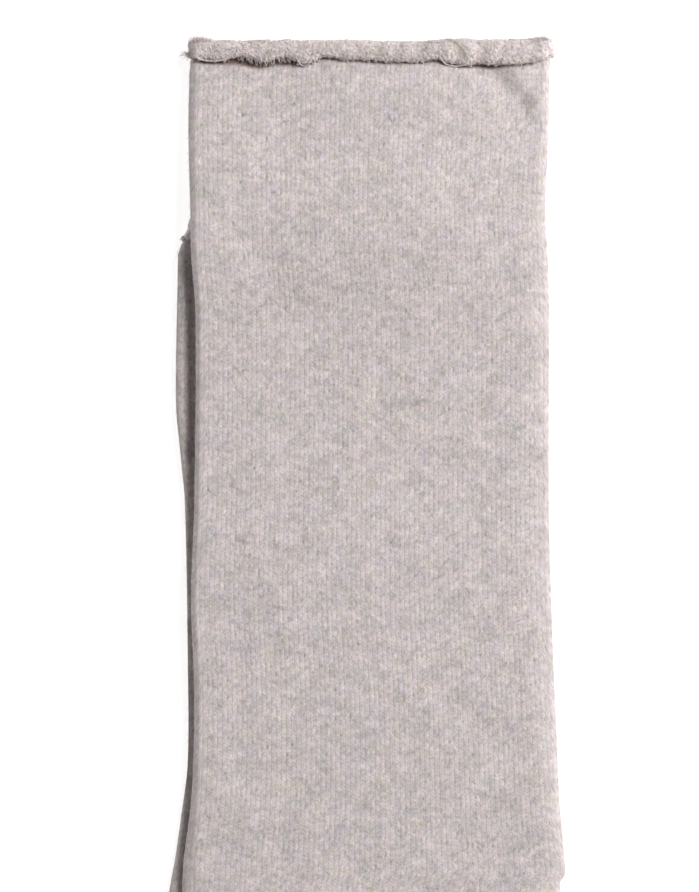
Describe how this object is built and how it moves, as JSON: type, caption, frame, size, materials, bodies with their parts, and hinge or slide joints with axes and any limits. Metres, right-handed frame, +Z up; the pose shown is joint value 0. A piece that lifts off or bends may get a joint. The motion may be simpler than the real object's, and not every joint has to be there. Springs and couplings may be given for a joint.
{
  "type": "pair of thermal socks",
  "caption": "Two long plain-knit terry socks with soft rolled rims, laid flat with one on top of the other.",
  "frame": {"origin": "on the surface the pair lies on, under the middle of the pair's box", "axes": "+Y along the legs towards the rolled rims, +Z up from the surface, +X to the heels' side, so the toes point to -X"},
  "size_m": [0.2404, 0.4128, 0.0131],
  "materials": {
    "heather_knit": "matt, softly napped heather jersey, terry loops inside and on the rolled rim"
  },
  "bodies": {
    "root": {"upper_sock": "heather_knit", "lower_sock": "heather_knit"}
  },
  "joints": []
}
